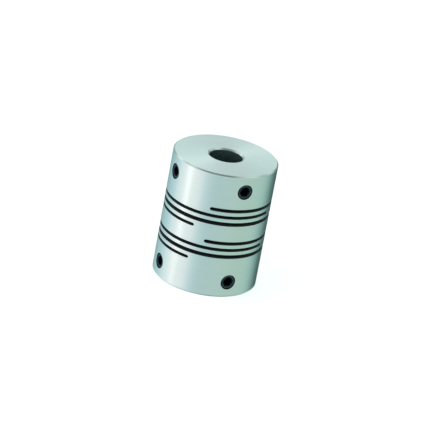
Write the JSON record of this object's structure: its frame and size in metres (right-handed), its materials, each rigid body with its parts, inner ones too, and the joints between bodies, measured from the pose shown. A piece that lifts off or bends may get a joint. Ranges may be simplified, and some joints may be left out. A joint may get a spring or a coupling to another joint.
{
  "type": "beam coupling",
  "caption": "Cylindrical flexible shaft coupling with groups of staggered cross slits in one metal body and radial set screws at each end.",
  "frame": {"origin": "middle of the coupling, on the bore's axis, half way between the end faces", "axes": "+Z along the bore towards the upper hub; the set screws point 3 degrees round from -X and -Y, and the webs lie on X and Y"},
  "size_m": [0.025, 0.025, 0.031],
  "materials": {
    "body": "fine turned, natural",
    "screw": "black oxide"
  },
  "bodies": {
    "lower_hub": {"lower_hub": "body", "lower_web_4": "body"},
    "lower_beam_3": {"lower_beam_3": "body", "lower_web_3": "body"},
    "lower_beam_2": {"lower_beam_2": "body", "lower_web_2": "body"},
    "lower_beam_1": {"lower_beam_1": "body", "lower_web_1": "body"},
    "centre_ring": {"centre_ring": "body", "upper_web_4": "body"},
    "upper_beam_3": {"upper_beam_3": "body", "upper_web_3": "body"},
    "upper_beam_2": {"upper_beam_2": "body", "upper_web_2": "body"},
    "upper_beam_1": {"upper_beam_1": "body", "upper_web_1": "body"},
    "upper_hub": {"upper_hub": "body"},
    "upper_side_set_screw": {"upper_side_set_screw": "screw"},
    "upper_front_set_screw": {"upper_front_set_screw": "screw"},
    "lower_side_set_screw": {"lower_side_set_screw": "screw"},
    "lower_front_set_screw": {"lower_front_set_screw": "screw"}
  },
  "joints": [
    {"name": "lower_flex_4", "type": "hinge", "parent": "lower_hub", "child": "lower_beam_3", "pos_m": [0, -0.00965, -0.00673], "axis": [1, 0, 0], "range_deg": [-0.5, 0.5], "stiffness_Nm_per_rad": 30, "deforming": ["lower_web_4"]},
    {"name": "lower_flex_3", "type": "hinge", "parent": "lower_beam_3", "child": "lower_beam_2", "pos_m": [0, 0.00965, -0.00502], "axis": [1, 0, 0], "range_deg": [-0.5, 0.5], "stiffness_Nm_per_rad": 30, "deforming": ["lower_web_3"]},
    {"name": "lower_flex_2", "type": "hinge", "parent": "lower_beam_2", "child": "lower_beam_1", "pos_m": [0.00965, 0, -0.0033], "axis": [0, 1, 0], "range_deg": [-0.5, 0.5], "stiffness_Nm_per_rad": 30, "deforming": ["lower_web_2"]},
    {"name": "lower_flex_1", "type": "hinge", "parent": "lower_beam_1", "child": "centre_ring", "pos_m": [-0.00965, 0, -0.00162], "axis": [0, 1, 0], "range_deg": [-0.5, 0.5], "stiffness_Nm_per_rad": 30, "deforming": ["lower_web_1"]},
    {"name": "upper_flex_4", "type": "hinge", "parent": "centre_ring", "child": "upper_beam_3", "pos_m": [0, -0.00965, 0.00158], "axis": [1, 0, 0], "range_deg": [-0.5, 0.5], "stiffness_Nm_per_rad": 30, "deforming": ["upper_web_4"]},
    {"name": "upper_flex_3", "type": "hinge", "parent": "upper_beam_3", "child": "upper_beam_2", "pos_m": [0, 0.00965, 0.00328], "axis": [1, 0, 0], "range_deg": [-0.5, 0.5], "stiffness_Nm_per_rad": 30, "deforming": ["upper_web_3"]},
    {"name": "upper_flex_2", "type": "hinge", "parent": "upper_beam_2", "child": "upper_beam_1", "pos_m": [0.00965, 0, 0.005], "axis": [0, 1, 0], "range_deg": [-0.5, 0.5], "stiffness_Nm_per_rad": 30, "deforming": ["upper_web_2"]},
    {"name": "upper_flex_1", "type": "hinge", "parent": "upper_beam_1", "child": "upper_hub", "pos_m": [-0.00965, 0, 0.00668], "axis": [0, 1, 0], "range_deg": [-0.5, 0.5], "stiffness_Nm_per_rad": 30, "deforming": ["upper_web_1"]},
    {"name": "upper_side_screw_travel", "type": "slide", "parent": "upper_hub", "child": "upper_side_set_screw", "axis": [-0.9986, 0.0523, 0], "range_m": [-0.0021, 0.0035]},
    {"name": "upper_front_screw_travel", "type": "slide", "parent": "upper_hub", "child": "upper_front_set_screw", "axis": [-0.0523, -0.9986, 0], "range_m": [-0.0021, 0.0035]},
    {"name": "lower_side_screw_travel", "type": "slide", "parent": "lower_hub", "child": "lower_side_set_screw", "axis": [-0.9986, 0.0523, 0], "range_m": [-0.0021, 0.0035]},
    {"name": "lower_front_screw_travel", "type": "slide", "parent": "lower_hub", "child": "lower_front_set_screw", "axis": [-0.0523, -0.9986, 0], "range_m": [-0.0021, 0.0035]}
  ]
}
